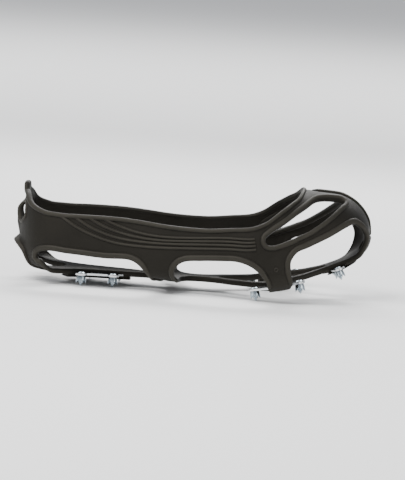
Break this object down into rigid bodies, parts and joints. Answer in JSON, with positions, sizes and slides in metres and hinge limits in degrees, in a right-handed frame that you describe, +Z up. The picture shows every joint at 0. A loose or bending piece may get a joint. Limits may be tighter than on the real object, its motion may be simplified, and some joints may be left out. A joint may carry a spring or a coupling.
{
  "type": "shoe ice cleats",
  "caption": "Slip-on ice cleat: stretch rubber harness that wraps the lower half of a boot, with steel plates and toothed studs under heel, ball and toe.",
  "frame": {"origin": "on the ground under the middle of the bounding box; the six rear studs stand on the ground", "axes": "+X from heel to toe, +Y towards the big-toe side of a right foot, +Z up"},
  "size_m": [0.293, 0.1216, 0.0921],
  "materials": {
    "rubber": "matt moulded elastomer with a faint sheen",
    "plate_steel": "stamped bright steel",
    "crown_steel": "bright zinc-plated steel",
    "pin_steel": "bright hardened steel"
  },
  "bodies": {
    "harness": {"heel_cup": "rubber", "side_wall_outer": "rubber", "side_wall_inner": "rubber", "toe_cap": "rubber", "heel_pad": "rubber", "ball_pad_outer": "rubber", "ball_pad_inner": "rubber", "toe_pad": "rubber", "heel_strap_outer": "rubber", "heel_strap_inner": "rubber", "sole_spine": "rubber", "arch_arm_outer": "rubber", "arch_arm_inner": "rubber", "arch_middle": "rubber", "rear_ball_strap_outer": "rubber", "rear_ball_strap_inner": "rubber", "front_ball_strap_outer": "rubber", "front_ball_strap_inner": "rubber", "toe_strap_outer": "rubber", "toe_strap_inner": "rubber", "heel_plate": "plate_steel", "ball_plate_outer": "plate_steel", "ball_plate_inner": "plate_steel", "toe_plate": "plate_steel", "stud_crown_heel_outer_rear": "crown_steel", "stud_crown_heel_outer_front": "crown_steel", "stud_crown_heel_inner_rear": "crown_steel", "stud_crown_heel_inner_front": "crown_steel", "stud_crown_ball_outer_rear": "crown_steel", "stud_crown_ball_outer_front": "crown_steel", "stud_crown_ball_inner_rear": "crown_steel", "stud_crown_ball_inner_front": "crown_steel", "stud_crown_toe_outer": "crown_steel", "stud_crown_toe_inner": "crown_steel", "stud_pin_heel_outer_rear": "pin_steel", "stud_pin_heel_outer_front": "pin_steel", "stud_pin_heel_inner_rear": "pin_steel", "stud_pin_heel_inner_front": "pin_steel", "stud_pin_ball_outer_rear": "pin_steel", "stud_pin_ball_outer_front": "pin_steel", "stud_pin_ball_inner_rear": "pin_steel", "stud_pin_ball_inner_front": "pin_steel", "stud_pin_toe_outer": "pin_steel", "stud_pin_toe_inner": "pin_steel"},
    "pull_tab": {"heel_pull_tab": "rubber"}
  },
  "joints": [
    {"name": "pull_tab_flex", "type": "hinge", "parent": "harness", "child": "pull_tab", "pos_m": [-0.1465, 0.0095, 0.071], "axis": [0, -1, 0], "range_deg": [0, 60], "stiffness_Nm_per_rad": 0.02}
  ]
}
